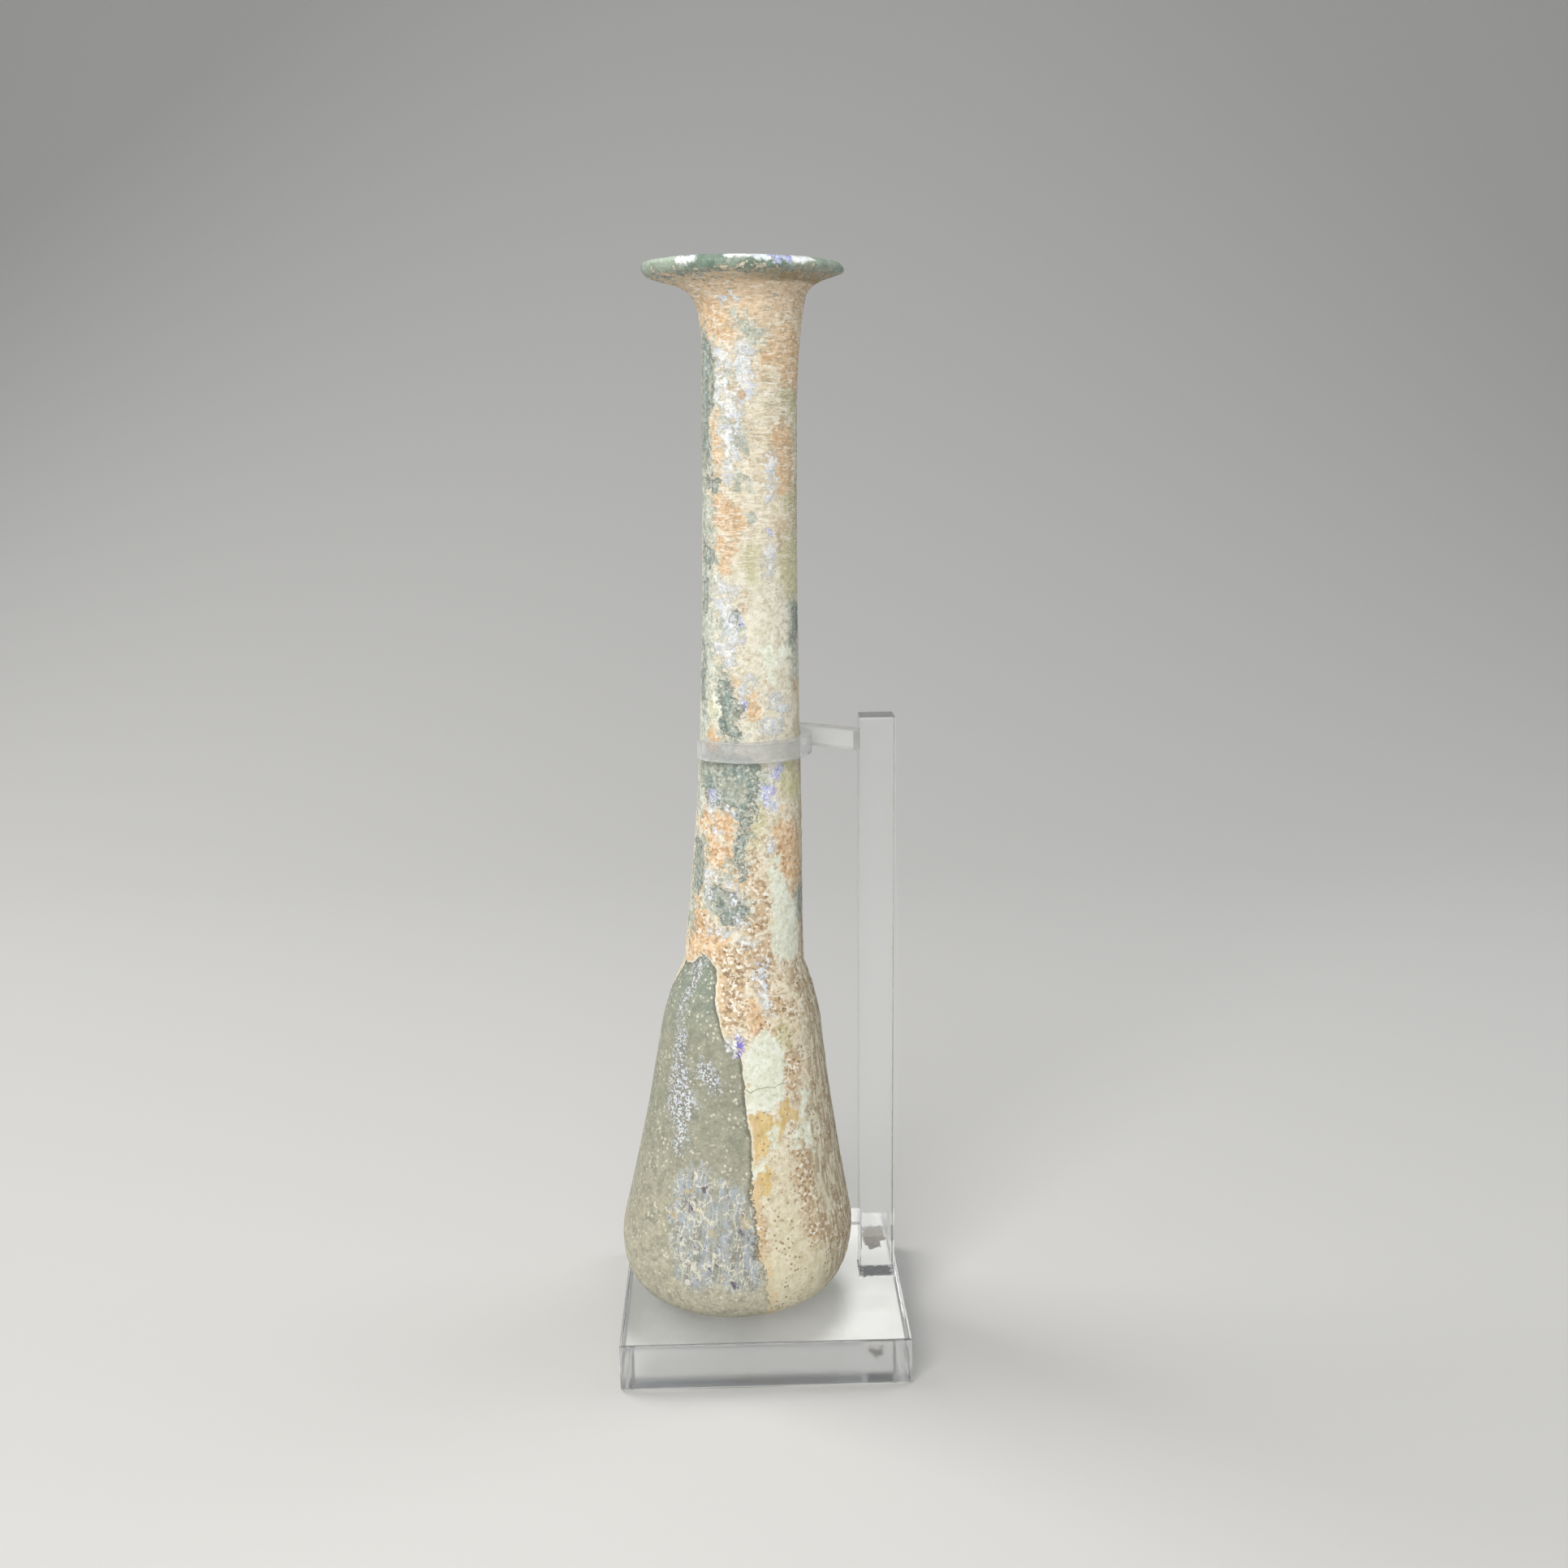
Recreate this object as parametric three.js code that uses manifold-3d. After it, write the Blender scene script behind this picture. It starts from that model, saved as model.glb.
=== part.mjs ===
// A free-blown glass unguentarium, a tall slim flask for scented oil, standing on its clear acrylic mount:
// a square base plate, a post glued on near the plate's right edge, and a clip that steadies the neck.
// Millimetres. X runs along the plate's front edge to the right, Y to the back and Z up, and the origin is
// the middle of the plate's underside.

import * as THREE from 'three';
import { mergeVertices } from 'three/addons/utils/BufferGeometryUtils.js';
import Module from 'manifold-3d';

const wasm = await Module();
wasm.setup();

// Base plate
const plateSide = 48;
const plateThickness = 8;

// Post, a square bar
const postSide = 6;
const postEdgeInset = 1; // from the plate's right edge
const postAboveClip = 2.5;

// Neck clip, cut from one sheet: a C round the neck and a straight arm to the post
const clipHeight = 94.2; // of its underside, above the plate
const clipThickness = 3.1;
const clipBand = 1.8; // width of the C, seen from above
const clipClearance = 0.3; // from the neck
const clipFrontEnd = -146; // degrees round from +X, the C's free end at the front left
const clipBackEnd = 92; // degrees, the C's end behind the neck
const armWidth = 3.4;
const armBite = 0.4; // how far the arm cuts into the C's outside
const armTail = 3; // of the arm, past the point where it touches the C

// Vessel, as stretches of its height from the foot up
const footHeight = 10.7; // the rounded lower edge, up to the widest part
const bodyHeight = 36.6;
const shoulderHeight = 11.3;
const neckHeight = 89.4;
const flareHeight = 23.4;

const footRadius = 11.5; // of the ring that it stands on
const bodyRadius = 19.76;
const shoulderRadius = 13.45;
const neckRootRadius = 10;
const neckRadius = 7.36;
const throatRadius = 8.2; // where the flare turns out
const throatDepth = 6.7; // below the rim
const lipRadius = 15.7;
const lipThickness = 1.9;
const lipUnevenness = 0.4; // how much thicker it is at the left, and thinner at the right
const lipSlope = 11.5; // degrees, of the flare's underside where it meets the lip

const wall = 1.5;
const floorThickness = 2.2;
const pushUp = 1; // height of the hollow under the foot
const standingRing = 3; // width of the flat that it stands on

const bodyPostGap = 1.7;
const vesselForward = 1.6; // of its middle, in front of the plate's middle

// The vessel is a little crooked. These are its middle's steps to the right of where the body is widest.
const footLean = -0.5;
const shoulderLean = 1.28;
const neckRootLean = 1.87;
const lowNeckLean = 3.12;
const midNeckLean = 3.7;
const flareLean = 4.1;
const throatLean = 4.45;
const lipLean = 3.05;

const roundSteps = 48;

const degree = Math.PI / 180;
const postFace = plateSide / 2 - postEdgeInset - postSide;
const vesselX = postFace - bodyPostGap - bodyRadius;
const vesselY = -vesselForward;

// Places on the vessel, in heights above its foot
const shoulderTop = footHeight + bodyHeight;
const neckRoot = shoulderTop + shoulderHeight;
const flareStart = neckRoot + neckHeight;
const vesselHeight = flareStart + flareHeight;
const throat = vesselHeight - throatDepth;
const lipMiddle = vesselHeight - lipThickness / 2;

// A smooth stretch of outline between two points, which leaves and arrives along the given steps
function stretch(from, leave, arrive, to, count) {
  const curve = new THREE.CubicBezierCurve(from, from.clone().add(leave), to.clone().sub(arrive), to);
  return curve.getPoints(count);
}

const point = (radius, height) => new THREE.Vector2(radius, height);

// The lip is a round bead: a point of it, at an angle up from straight down
function onLip(angle) {
  const bead = lipThickness / 2;
  return point(lipRadius - bead + bead * Math.sin(angle), lipMiddle - bead * Math.cos(angle));
}

// The outline of the outside, from the standing ring up to the lip's underside
function outsideOutline() {
  const foot = point(footRadius, 0);
  const widest = point(bodyRadius, footHeight);
  const shoulder = point(shoulderRadius, shoulderTop);
  const root = point(neckRootRadius, neckRoot);
  const flare = point(neckRadius, flareStart);
  const turn = point(throatRadius, throat);
  const lip = onLip(lipSlope * degree);

  const outFromFoot = point(0.72 * (bodyRadius - footRadius), 0);
  const upToWidest = point(0, 0.6 * footHeight);
  const overWidest = point(0, 0.09 * bodyHeight);
  const upToShoulder = point(-0.095 * bodyHeight, 0.68 * bodyHeight);
  const overShoulder = point(-0.08 * shoulderHeight, 0.51 * shoulderHeight);
  const intoRoot = point(-0.01 * shoulderHeight, 0.07 * shoulderHeight);
  const upNeck = point(-0.022 * neckHeight, 0.32 * neckHeight);
  const alongNeck = point(0, 0.38 * neckHeight);
  const intoFlare = point(0, 0.3 * flareHeight);
  const toTurn = point(0.08 * throatDepth, 0.36 * throatDepth);
  const pastTurn = point(0.08 * throatDepth, 0.4 * throatDepth);
  const outToLip = point(0.75 * throatDepth, 0.75 * throatDepth * Math.tan(lipSlope * degree));

  return [
    ...stretch(foot, outFromFoot, upToWidest, widest, 5),
    ...stretch(widest, overWidest, upToShoulder, shoulder, 5).slice(1),
    ...stretch(shoulder, overShoulder, intoRoot, root, 4).slice(1),
    ...stretch(root, upNeck, alongNeck, flare, 6).slice(1),
    ...stretch(flare, intoFlare, toTurn, turn, 4).slice(1),
    ...stretch(turn, pastTurn, outToLip, lip, 6).slice(1),
  ];
}

// An outline moved in by the wall
function movedIn(outline) {
  return outline.map((here, i) => {
    const before = outline[Math.max(i - 1, 0)];
    const after = outline[Math.min(i + 1, outline.length - 1)];
    const along = after.clone().sub(before).normalize();
    return point(here.x - along.y * wall, here.y + along.x * wall);
  });
}

const outside = outsideOutline();

// The outside's radius at a height above the foot, over the stretches where it is a function of height
function radiusAt(height) {
  const i = outside.findIndex((p) => p.y >= height);
  const [low, high] = [outside[i - 1], outside[i]];
  return THREE.MathUtils.mapLinear(height, low.y, high.y, low.x, high.x);
}

const middleLine = new THREE.SplineCurve([
  point(footLean, 0),
  point(0, footHeight),
  point(shoulderLean, shoulderTop),
  point(neckRootLean, neckRoot),
  point(lowNeckLean, neckRoot + 0.3 * neckHeight),
  point(midNeckLean, neckRoot + 0.6 * neckHeight),
  point(flareLean, flareStart),
  point(throatLean, throat),
  point(lipLean, vesselHeight),
]).getPoints(160);

// How far the vessel's middle lies to the right of its widest part's, at a height above its foot
function leanAt(height) {
  const above = middleLine.findIndex((p) => p.y >= height);
  const i = above < 0 ? middleLine.length - 1 : Math.max(1, above);
  const [low, high] = [middleLine[i - 1], middleLine[i]];
  return THREE.MathUtils.mapLinear(height, low.y, high.y, low.x, high.x);
}

function makeVessel() {
  const lip = [];
  const beadSteps = 5;
  const overLip = (180 - lipSlope) * degree;
  for (let i = 1; i <= beadSteps; i++) {
    lip.push(onLip(THREE.MathUtils.mapLinear(i, 0, beadSteps, lipSlope * degree, overLip)));
  }
  const clearOfLip = lipRadius - lipThickness;
  const inside = movedIn(outside).filter((p) => p.x < clearOfLip || p.y < throat).reverse();
  const floorEdge = inside.pop();
  const underside = [
    point(0, pushUp),
    point(0.5 * (footRadius - standingRing), 0.75 * pushUp),
    point(footRadius - standingRing, 0),
  ];
  const across = point(-footRadius / 3, 0);
  const floor = stretch(floorEdge, across, across, point(0, pushUp + floorThickness), 4);

  const profile = [...underside, ...outside, ...lip, ...inside, ...floor];
  const geometry = new THREE.LatheGeometry(profile, roundSteps);
  geometry.rotateX(90 * degree);
  const place = geometry.attributes.position;
  for (let i = 0; i < place.count; i++) {
    const [x, z] = [place.getX(i), place.getZ(i)];
    const swell = (THREE.MathUtils.smoothstep(z, throat, lipMiddle) * lipUnevenness * x) / lipRadius / lipThickness;
    place.setX(i, x + leanAt(z));
    place.setZ(i, lipMiddle + (z - lipMiddle) * (1 - swell));
  }
  geometry.computeVertexNormals();
  return geometry;
}

function solidFrom(geometry) {
  geometry.deleteAttribute('normal');
  geometry.deleteAttribute('uv');
  const welded = mergeVertices(geometry);
  const mesh = new wasm.Mesh({
    numProp: 3,
    vertProperties: new Float32Array(welded.attributes.position.array),
    triVerts: new Uint32Array(welded.index.array),
  });
  return new wasm.Manifold(mesh);
}

function geometryFrom(solid) {
  const mesh = solid.getMesh();
  const geometry = new THREE.BufferGeometry();
  geometry.setAttribute('position', new THREE.BufferAttribute(mesh.vertProperties, 3));
  geometry.setIndex(new THREE.BufferAttribute(mesh.triVerts, 1));
  geometry.computeVertexNormals();
  return geometry;
}

// The clip, seen from above, with the C's middle at (0, 0)
function makeClip(neckX) {
  const inner = radiusAt(clipHeight) + clipClearance;
  const outer = inner + clipBand;

  const ring = new THREE.Shape();
  ring.absarc(0, 0, outer, clipFrontEnd * degree, clipBackEnd * degree, false);
  ring.absarc(0, 0, inner, clipBackEnd * degree, clipFrontEnd * degree, true);
  ring.closePath();

  // The arm starts at the middle of the post's left face and runs back along the C's outside.
  const start = point(postFace - neckX, -vesselY);
  const reach = outer + armWidth / 2 - armBite;
  const swing = Math.asin(reach / start.length()) - start.angle();
  const along = point(-Math.cos(swing), Math.sin(swing));
  const side = point(Math.sin(swing), Math.cos(swing)).multiplyScalar(armWidth / 2);
  const length = Math.sqrt(start.lengthSq() - reach ** 2) + armTail;
  const end = start.clone().addScaledVector(along, length);
  const halfSeat = armWidth / 2 / Math.cos(swing);

  const arm = new THREE.Shape([
    point(start.x, start.y - halfSeat),
    point(start.x, start.y + halfSeat),
    end.clone().add(side),
    end.clone().sub(side),
  ]);

  const sheet = { depth: clipThickness, bevelEnabled: false, curveSegments: roundSteps / 2 };
  const [ringSolid, armSolid] = [ring, arm].map((s) => solidFrom(new THREE.ExtrudeGeometry(s, sheet)));
  return geometryFrom(ringSolid.add(armSolid));
}

const weatheredGlass = new THREE.MeshStandardMaterial({ color: 0xc9bd9f, roughness: 0.6, metalness: 0.05 });
const clearAcrylic = new THREE.MeshStandardMaterial({
  color: 0xe6eaec,
  roughness: 0.08,
  metalness: 0,
  transparent: true,
  opacity: 0.35,
});

const mounted = new THREE.Group();

function addPiece(name, geometry, material, x, y, z) {
  const piece = new THREE.Mesh(geometry, material.clone());
  piece.name = name;
  piece.position.set(x, y, z);
  mounted.add(piece);
}

const plate = new THREE.BoxGeometry(plateSide, plateSide, plateThickness);
addPiece('base_plate', plate, clearAcrylic, 0, 0, plateThickness / 2);

const postHeight = clipHeight + clipThickness + postAboveClip;
const post = new THREE.BoxGeometry(postSide, postSide, postHeight);
addPiece('upright_post', post, clearAcrylic, postFace + postSide / 2, 0, plateThickness + postHeight / 2);

const neckX = vesselX + leanAt(clipHeight + clipThickness / 2);
addPiece('neck_clip', makeClip(neckX), clearAcrylic, neckX, vesselY, plateThickness + clipHeight);

addPiece('unguentarium', makeVessel(), weatheredGlass, vesselX, vesselY, plateThickness);

export default mounted;
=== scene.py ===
from math import asin, atan2, cos, hypot, pi, radians, sin, sqrt, tan

import bmesh
import bpy
import numpy as np
from mathutils import Matrix, Vector, noise
from mathutils.geometry import interpolate_bezier


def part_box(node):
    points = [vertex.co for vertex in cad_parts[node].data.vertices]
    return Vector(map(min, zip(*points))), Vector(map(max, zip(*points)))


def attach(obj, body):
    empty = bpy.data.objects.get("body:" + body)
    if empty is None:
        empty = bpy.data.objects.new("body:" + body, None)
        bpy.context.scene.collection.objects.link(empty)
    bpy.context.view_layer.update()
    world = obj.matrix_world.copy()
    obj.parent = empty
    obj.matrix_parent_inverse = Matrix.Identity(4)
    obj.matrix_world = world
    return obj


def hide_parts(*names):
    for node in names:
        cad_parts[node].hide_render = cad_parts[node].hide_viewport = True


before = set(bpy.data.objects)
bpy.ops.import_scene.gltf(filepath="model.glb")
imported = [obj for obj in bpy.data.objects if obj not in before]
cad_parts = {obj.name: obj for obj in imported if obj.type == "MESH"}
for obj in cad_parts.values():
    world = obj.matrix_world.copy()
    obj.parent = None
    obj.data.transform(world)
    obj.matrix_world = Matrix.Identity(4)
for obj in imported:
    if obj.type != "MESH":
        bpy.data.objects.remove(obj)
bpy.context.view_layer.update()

# Camera
# It stands a little left of the middle and looks down on the plate by about twelve degrees.
mm = 0.001
camera_place = Vector((-3.373, -275.235, 155.058)) * mm
camera_yaw, camera_pitch, camera_roll = 0.0288912, 0.2102469, -0.0103815

lens = bpy.data.cameras.new("camera")
lens.sensor_width = 36
lens.lens = 38.808
lens.clip_start = 0.01
camera = bpy.data.objects.new("camera", lens)
camera.matrix_world = (
    Matrix.Translation(camera_place)
    @ Matrix.Rotation(-camera_yaw, 4, "Z")
    @ Matrix.Rotation(radians(90) - camera_pitch, 4, "X")
    @ Matrix.Rotation(camera_roll, 4, "Z")
)
bpy.context.scene.collection.objects.link(camera)
bpy.context.scene.camera = camera

# Unguentarium
# A tall slim flask, blown in one piece of pale blue-green glass, its rim turned out and rounded in the fire.
# Long burial has laid flaking crusts on it, cream, peach and mint, over glass gone dull and iridescent.
foot_height, body_height, shoulder_height, neck_height, flare_height = 10.7, 36.6, 11.3, 89.4, 23.4
foot_radius, body_radius, shoulder_radius, neck_root_radius = 11.5, 19.76, 13.45, 10.0
neck_radius, throat_radius, lip_radius = 7.36, 8.2, 15.7
throat_depth, lip_thickness, lip_unevenness, lip_slope = 6.7, 1.9, 0.4, radians(11.5)
wall, floor_thickness, push_up, standing_ring = 1.5, 2.2, 1.0, 3.0
round_steps = 168

shoulder_top = foot_height + body_height
neck_root = shoulder_top + shoulder_height
flare_start = neck_root + neck_height
vessel_height = flare_start + flare_height
throat = vessel_height - throat_depth
lip_middle = vessel_height - lip_thickness / 2
plate_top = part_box("unguentarium")[0][2] / mm
foot_film = 0.03  # of air, under the standing ring
vessel_x, vessel_y = -4.46, -1.6


def stretch(start, leave, arrive, end, count):
    start, end = Vector(start), Vector(end)
    return interpolate_bezier(start, start + Vector(leave), end - Vector(arrive), end, count + 1)


def on_lip(angle):
    bead = lip_thickness / 2
    return (lip_radius - bead + bead * sin(angle), lip_middle - bead * cos(angle))


def outside_outline(fineness):
    """The outside from the standing ring to the lip's underside, with this many points a millimetre."""
    foot, widest, shoulder = (foot_radius, 0), (body_radius, foot_height), (shoulder_radius, shoulder_top)
    root, flare, turn = (neck_root_radius, neck_root), (neck_radius, flare_start), (throat_radius, throat)
    lip = on_lip(lip_slope)
    out, up, body, high = body_radius - foot_radius, foot_height, body_height, shoulder_height
    parts = [
        stretch(foot, (0.72 * out, 0), (0, 0.6 * up), widest, round(15 * fineness)),
        stretch(widest, (0, 0.09 * body), (-0.095 * body, 0.68 * body), shoulder, round(37 * fineness)),
        stretch(
            shoulder,
            (-0.08 * high, 0.51 * high),
            (-0.01 * high, 0.07 * high),
            root,
            round(12 * fineness),
        ),
        stretch(
            root,
            (-0.022 * neck_height, 0.32 * neck_height),
            (0, 0.38 * neck_height),
            flare,
            round(89 * fineness),
        ),
        stretch(
            flare,
            (0, 0.3 * flare_height),
            (0.08 * throat_depth, 0.36 * throat_depth),
            turn,
            round(17 * fineness),
        ),
        stretch(
            turn,
            (0.08 * throat_depth, 0.4 * throat_depth),
            (0.75 * throat_depth, 0.75 * throat_depth * tan(lip_slope)),
            lip,
            round(11 * fineness),
        ),
    ]
    outline = [(p[0], p[1]) for p in parts[0]]
    for part in parts[1:]:
        outline += [(p[0], p[1]) for p in part[1:]]
    return outline


def moved_in(outline):
    inner = []
    for i, (radius, height) in enumerate(outline):
        before, after = outline[max(i - 1, 0)], outline[min(i + 1, len(outline) - 1)]
        run, rise = after[0] - before[0], after[1] - before[1]
        length = hypot(run, rise)
        inner.append((radius - rise / length * wall, height + run / length * wall))
    return inner


outside = outside_outline(2.2)
bead = [on_lip(lip_slope + (pi - 2 * lip_slope) * i / 14) for i in range(1, 15)]
inside = [p for p in moved_in(outside_outline(0.7)) if p[0] < lip_radius - lip_thickness or p[1] < throat]
inside.reverse()
floor_edge = inside.pop()
third = (-foot_radius / 3, 0)
flask_floor = stretch(floor_edge, third, third, (0, push_up + floor_thickness), 8)
underside = [(0, push_up), (0.25 * (foot_radius - standing_ring), 0.94 * push_up)]
underside += [(0.5 * (foot_radius - standing_ring), 0.75 * push_up), (foot_radius - standing_ring, 0)]
underside += [(foot_radius - 0.5 * standing_ring, 0)]
profile = [(p, 1) for p in underside + outside + bead] + [(p, 0) for p in inside]
profile += [((p[0], p[1]), 0) for p in flask_floor]

flask = bmesh.new()
is_outside = flask.verts.layers.float.new("outside")
for (radius, height), outer in profile:
    corner = flask.verts.new((radius, 0, height))
    corner[is_outside] = outer
flask.verts.ensure_lookup_table()
for i in range(len(flask.verts) - 1):
    flask.edges.new((flask.verts[i], flask.verts[i + 1]))
bmesh.ops.spin(
    flask,
    geom=flask.verts[:] + flask.edges[:],
    cent=(0, 0, 0),
    axis=(0, 0, 1),
    dvec=(0, 0, 0),
    angle=2 * pi,
    steps=round_steps,
    use_merge=True,
    use_normal_flip=False,
    use_duplicate=False,
)
bmesh.ops.remove_doubles(flask, verts=flask.verts, dist=0.0005)
bmesh.ops.recalc_face_normals(flask, faces=flask.faces)
flask_mesh = bpy.data.meshes.new("flask")
flask.to_mesh(flask_mesh)
flask.free()

# Patches of weathering, and of painted highlight on the lip and down the body's left, each laid as a stroke:
# from an angle round from the front and a height above the foot, to another, with its half-width in
# millimetres at both ends.
bare_strokes = [
    (-66, 73, -66, 79, 1.7, 1.7), (-7, 86, -6, 75, 0.5, 0.45), (-33, 71.8, -18, 70.8, 1.7, 1.8),
    (-20, 69, -8, 69.8, 1.4, 1.2), (-45, 92, -15, 92, 3.2, 3.2), (-40, 89.3, -10, 88.5, 2.4, 2.4),
    (-30, 105.5, -24, 99, 1.3, 1.3), (-20, 103, -10, 101.5, 0.7, 0.6), (-74, 142, -70, 158, 1.8, 2.0),
    (-58, 152, -60, 157, 1.3, 1.2), (-56, 138, -44, 137.8, 0.9, 0.9), (-72, 127, -60, 126, 1.5, 1.2),
    (-70, 119, -72, 122, 1.3, 1.0), (-76, 112, -74, 104, 1.3, 1.4), (68, 114, 72, 118, 1.2, 1.0),
    (72, 69, 76, 70, 1.3, 1.4), (-20, 117, -17, 116.5, 0.8, 0.6), (2, 93, 4, 86, 0.7, 0.6),
    (120, 150, 127, 141, 1.0, 1.6), (129, 138, 122, 130, 1.4, 0.8), (168, 92, 176, 85, 1.4, 2.0),
    (183, 82, 177, 75, 1.7, 1.2), (-132, 118, -124, 112, 1.0, 1.5), (-120, 108, -126, 103, 1.2, 0.8),
    (-152, 84, -142, 78, 1.5, 1.7), (-136, 74, -146, 69, 1.5, 1.1), (150, 112, 146, 104, 1.6, 1.2),
    (-110, 160, -104, 146, 1.6, 1.2),
]
mint_strokes = [
    (15, 49.6, 16, 46, 0.5, 2.8), (16, 46, 15, 41, 3.6, 3.4), (26, 44.5, 25, 43, 1.6, 1.2),
    (6, 42, 7, 38, 1.1, 1.5), (13, 40, 17, 38.5, 2.2, 1.6), (44, 38, 42, 35, 0.9, 0.7),
    (44, 33, 48, 29, 0.8, 0.7), (38, 33, 36, 30, 0.8, 0.5), (35, 73, 45, 63, 1.8, 2.9),
    (30, 77, 36, 68, 0.9, 1.6), (50, 66, 44, 62, 1.8, 1.4), (21, 111.5, 27, 110, 1.3, 1.4),
    (45, 111, 53, 112, 1.2, 1.1), (28, 107, 20, 108, 1.0, 0.8), (-45, 104, -34, 99, 0.7, 0.6),
    (20, 34, 21, 31, 0.9, 0.6), (12, 28, 9, 26.6, 0.9, 0.5), (110, 50, 100, 38, 2.0, 4.2),
    (160, 30, 165, 20, 3.4, 2.2), (130, 96, 134, 84, 1.6, 1.2), (200, 60, 204, 54, 2.0, 1.2),
]
ochre_strokes = [
    (13, 35, 12, 31, 2.2, 1.4), (18, 35.9, 19, 35.5, 0.8, 0.6), (28.5, 37.6, 26.5, 34, 0.9, 0.8),
    (25, 34, 23, 32.4, 0.9, 0.7), (34, 35.4, 38, 34.4, 1.0, 0.8), (13, 27, 15, 24, 0.9, 0.7),
    (3.5, 40, 8, 32, 0.5, 0.6), (8, 30, 9.5, 22, 0.7, 0.5), (95, 30, 92, 24, 2.2, 1.4),
    (140, 44, 146, 38, 1.6, 1.2), (170, 14, 178, 11, 1.8, 1.2),
]
peach_strokes = [
    (-58, 84, -18, 83, 2.0, 2.2), (-48, 79.5, -22, 78, 2.2, 2.2), (-14, 82, -13, 76, 1.2, 1.0),
    (-60, 73.5, -62, 66, 1.2, 1.4), (-56, 68, -44, 66, 1.8, 1.8), (-62, 63.5, -24, 63.6, 2.4, 2.2),
    (-60, 61.5, -62, 60, 1.0, 0.7), (-33, 61.5, -31, 60, 0.9, 0.6), (48, 81, 62, 74, 2.6, 2.6),
    (38, 82, 41, 77, 1.6, 1.5), (35, 70.3, 48, 70, 0.7, 0.7), (-48, 134.5, -22, 131.5, 2.0, 2.2),
    (-55, 146.6, -46, 142, 1.3, 1.5), (-50, 149, -44, 148.4, 0.7, 0.6), (42, 144, 46, 138.5, 2.5, 2.4),
    (-35, 125.5, -26, 128, 1.2, 1.1), (-52, 128, -40, 129.5, 1.2, 0.8), (-50, 98, -42, 94.5, 1.5, 1.4),
    (-40, 108, -20, 107, 0.9, 0.8), (0, 104.5, 5, 102, 0.8, 0.9), (42, 86.3, 46, 86, 0.8, 0.6),
    (7, 54, 10, 49.6, 1.3, 0.6), (28, 42, 31, 41, 0.9, 0.6), (-24, 54, -20, 53, 0.7, 0.5),
    (-30, 162, -60, 163, 2.4, 3.0), (45, 160, 60, 156, 2.4, 3.4), (20, 157, 30, 158, 1.4, 1.6),
    (100, 96, 104, 80, 2.4, 3.0), (140, 160, 170, 152, 3.0, 3.0), (150, 74, 140, 62, 2.6, 3.4),
    (-100, 132, -104, 112, 2.0, 1.6), (-160, 140, -150, 118, 2.0, 2.6), (-120, 66, -110, 58, 2.4, 1.6),
    (170, 50, 150, 44, 2.4, 3.4), (-170, 104, -164, 96, 2.0, 1.6),
]
brown_strokes = [
    (-14, 61, 8, 62, 2.2, 2.4), (6, 67, 12, 69.5, 1.8, 1.8), (5, 73.5, 15, 73, 1.6, 1.8),
    (5, 77, 4, 75.5, 1.2, 1.0), (-15, 58, -8, 52, 2.4, 2.0), (14, 58, 18, 62, 1.6, 1.4),
    (28, 54, 38, 53, 1.8, 1.6), (30, 62, 22, 64.5, 1.3, 1.3), (38, 45, 40, 38, 1.6, 1.2),
    (36, 34.5, 38, 34, 0.9, 0.7), (38, 28, 43, 17, 1.8, 2.8), (44, 16, 62, 13, 2.4, 3.6),
    (70, 35, 80, 30, 3.0, 3.6), (66, 16, 78, 9, 4.2, 4.6), (11, 20, 13, 14, 1.2, 1.2),
    (60, 57, 72, 54, 3.0, 3.0), (36, 130.4, 37, 128.8, 0.6, 0.8), (-52, 67.4, -46, 67, 0.6, 0.5),
    (22, 107, 24, 106, 0.5, 0.5), (36, 46.5, 37, 45, 0.6, 0.5), (14, 169.2, 80, 168.6, 0.6, 0.9),
    (100, 169, 160, 169, 0.6, 0.6), (-8, 120, -5, 118.5, 0.5, 0.4), (65, 106, 78, 104, 0.9, 1.0),
    (12, 32, 12, 30.5, 0.7, 0.6), (-10, 151, -14, 152, 0.5, 0.4), (90, 66, 96, 52, 2.6, 3.4),
    (120, 22, 130, 12, 4.4, 3.6), (160, 62, 176, 54, 3.0, 2.4), (100, 160, 120, 156, 2.0, 2.4),
]
olive_strokes = [
    (60, 127, 68, 121, 3.4, 2.6), (52, 137, 72, 133, 2.2, 2.4), (30, 49, 35, 47.3, 1.6, 1.0),
    (8, 93, 7, 80, 0.8, 0.9), (45, 92, 62, 89, 2.4, 2.4), (-50, 104, -46, 101, 1.0, 1.0),
    (0, 127, 4, 123, 1.2, 1.0), (52, 152, 62, 150, 1.4, 1.8), (-80, 96, -90, 90, 2.0, 2.0),
    (110, 116, 114, 106, 2.0, 2.0), (90, 44, 84, 34, 2.4, 2.0),
]
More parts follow.
